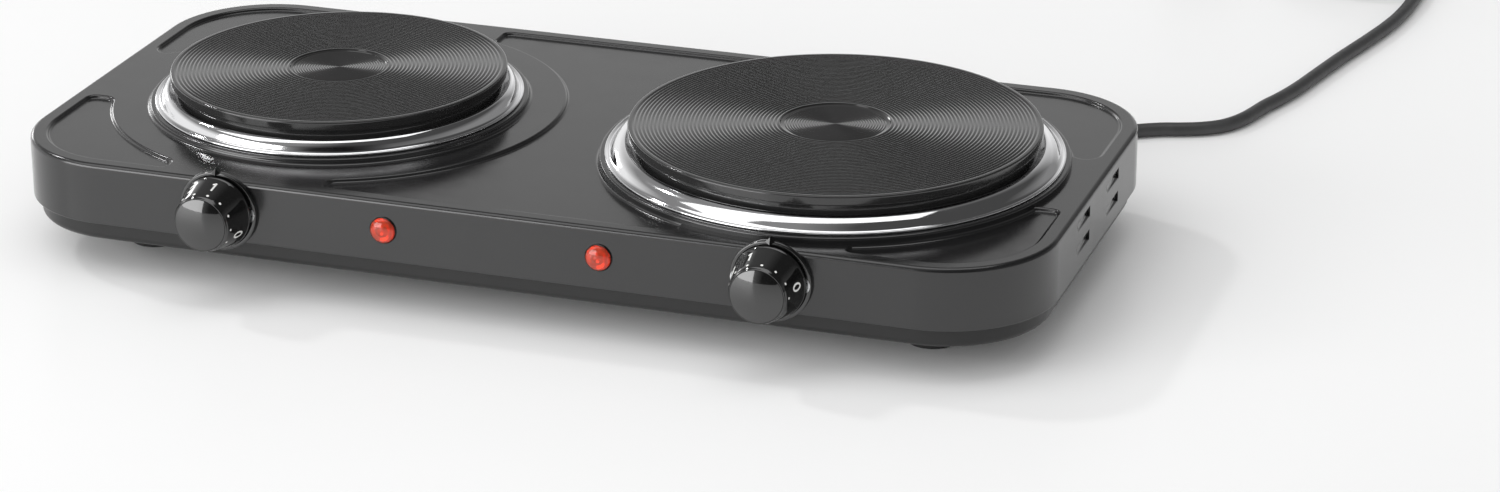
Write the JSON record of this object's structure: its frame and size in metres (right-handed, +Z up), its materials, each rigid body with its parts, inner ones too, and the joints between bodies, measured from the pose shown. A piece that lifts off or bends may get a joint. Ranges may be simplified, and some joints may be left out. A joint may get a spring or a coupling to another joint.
{
  "type": "double hot plate",
  "caption": "Free-standing electric hot plate: two round cast-iron plates of different sizes on a pressed steel housing, with a turning knob and a lamp for each, and a cord with plug.",
  "frame": {"origin": "on the standing surface, under the middle of the housing and its knobs (the cord's pieces left out)", "axes": "+X to the user's right, along the housing's length; +Y away from the user; +Z up"},
  "size_m": [0.5454, 0.688, 0.07],
  "materials": {
    "housing_paint": "satin black stoving enamel",
    "pan_paint": "matt black paint",
    "zinc_steel": "zinc plated",
    "fastener_steel": "zinc plated",
    "foot_rubber": "matt",
    "cast_iron": "turned, heat-resistant coating",
    "bright_ring": "polished stainless steel",
    "ceramic": "pressed ceramic, unglazed",
    "aluminised_sheet": "aluminised sheet",
    "thermostat_body": "moulded, heat-resistant",
    "knob_plastic": "gloss black",
    "shaft_steel": "turned steel",
    "lens_red": "translucent red-orange",
    "lamp_holder": "moulded",
    "clamp_plastic": "moulded",
    "brass": "plain",
    "plug_pin": "nickel plated",
    "wire_live": "heat-resistant sleeve",
    "wire_neutral": "heat-resistant sleeve",
    "wire_earth": "heat-resistant sleeve",
    "cord_sheath": "matt rubber or PVC sheath",
    "plug_plastic": "moulded, fine grain"
  },
  "bodies": {
    "housing": {"top_housing": "housing_paint", "mounting_brackets": "zinc_steel", "base_pan": "pan_paint", "rubber_feet": "foot_rubber", "foot_screws": "fastener_steel", "foot_nuts": "fastener_steel", "base_screws": "fastener_steel", "left_hotplate": "cast_iron", "right_hotplate": "cast_iron", "left_trim_ring": "bright_ring", "right_trim_ring": "bright_ring", "left_heating_coil": "ceramic", "right_heating_coil": "ceramic", "left_cover_plate": "aluminised_sheet", "right_cover_plate": "aluminised_sheet", "plate_studs": "fastener_steel", "stud_nuts": "fastener_steel", "left_clamp_bar": "zinc_steel", "right_clamp_bar": "zinc_steel", "left_plate_terminals": "ceramic", "right_plate_terminals": "ceramic", "left_thermostat": "thermostat_body", "right_thermostat": "thermostat_body", "thermostat_screws": "fastener_steel", "left_bezel": "knob_plastic", "right_bezel": "knob_plastic", "left_lamp_lens": "lens_red", "right_lamp_lens": "lens_red", "left_lamp": "lamp_holder", "right_lamp": "lamp_holder", "lamp_clips": "fastener_steel", "lamp_leads": "wire_live", "terminal_block": "lamp_holder", "terminal_block_screws": "fastener_steel", "cord_saddle": "clamp_plastic", "cord_clamp_bar": "clamp_plastic", "cord_clamp_screws": "fastener_steel", "earth_screw": "brass", "live_wires": "wire_live", "neutral_wires": "wire_neutral", "earth_wire": "wire_earth", "inner_cord": "cord_sheath", "cord_conductors": "wire_live", "strain_relief": "plug_plastic", "power_cord": "cord_sheath", "cord_coil": "cord_sheath", "cord_tie": "plug_plastic", "cord_tail": "cord_sheath", "plug_body": "plug_plastic", "plug_pins": "plug_pin", "plug_earth_clips": "brass"},
    "left_dial": {"left_knob": "knob_plastic", "left_shaft": "shaft_steel", "left_knob_spring": "shaft_steel"},
    "right_dial": {"right_knob": "knob_plastic", "right_shaft": "shaft_steel", "right_knob_spring": "shaft_steel"}
  },
  "joints": [
    {"name": "left_knob_turn", "type": "hinge", "parent": "housing", "child": "left_dial", "pos_m": [-0.128, -0.10625, 0.0398], "axis": [0, 1, 0], "range_deg": [-115, 155]},
    {"name": "right_knob_turn", "type": "hinge", "parent": "housing", "child": "right_dial", "pos_m": [0.128, -0.10625, 0.0398], "axis": [0, 1, 0], "range_deg": [-80, 190]}
  ]
}
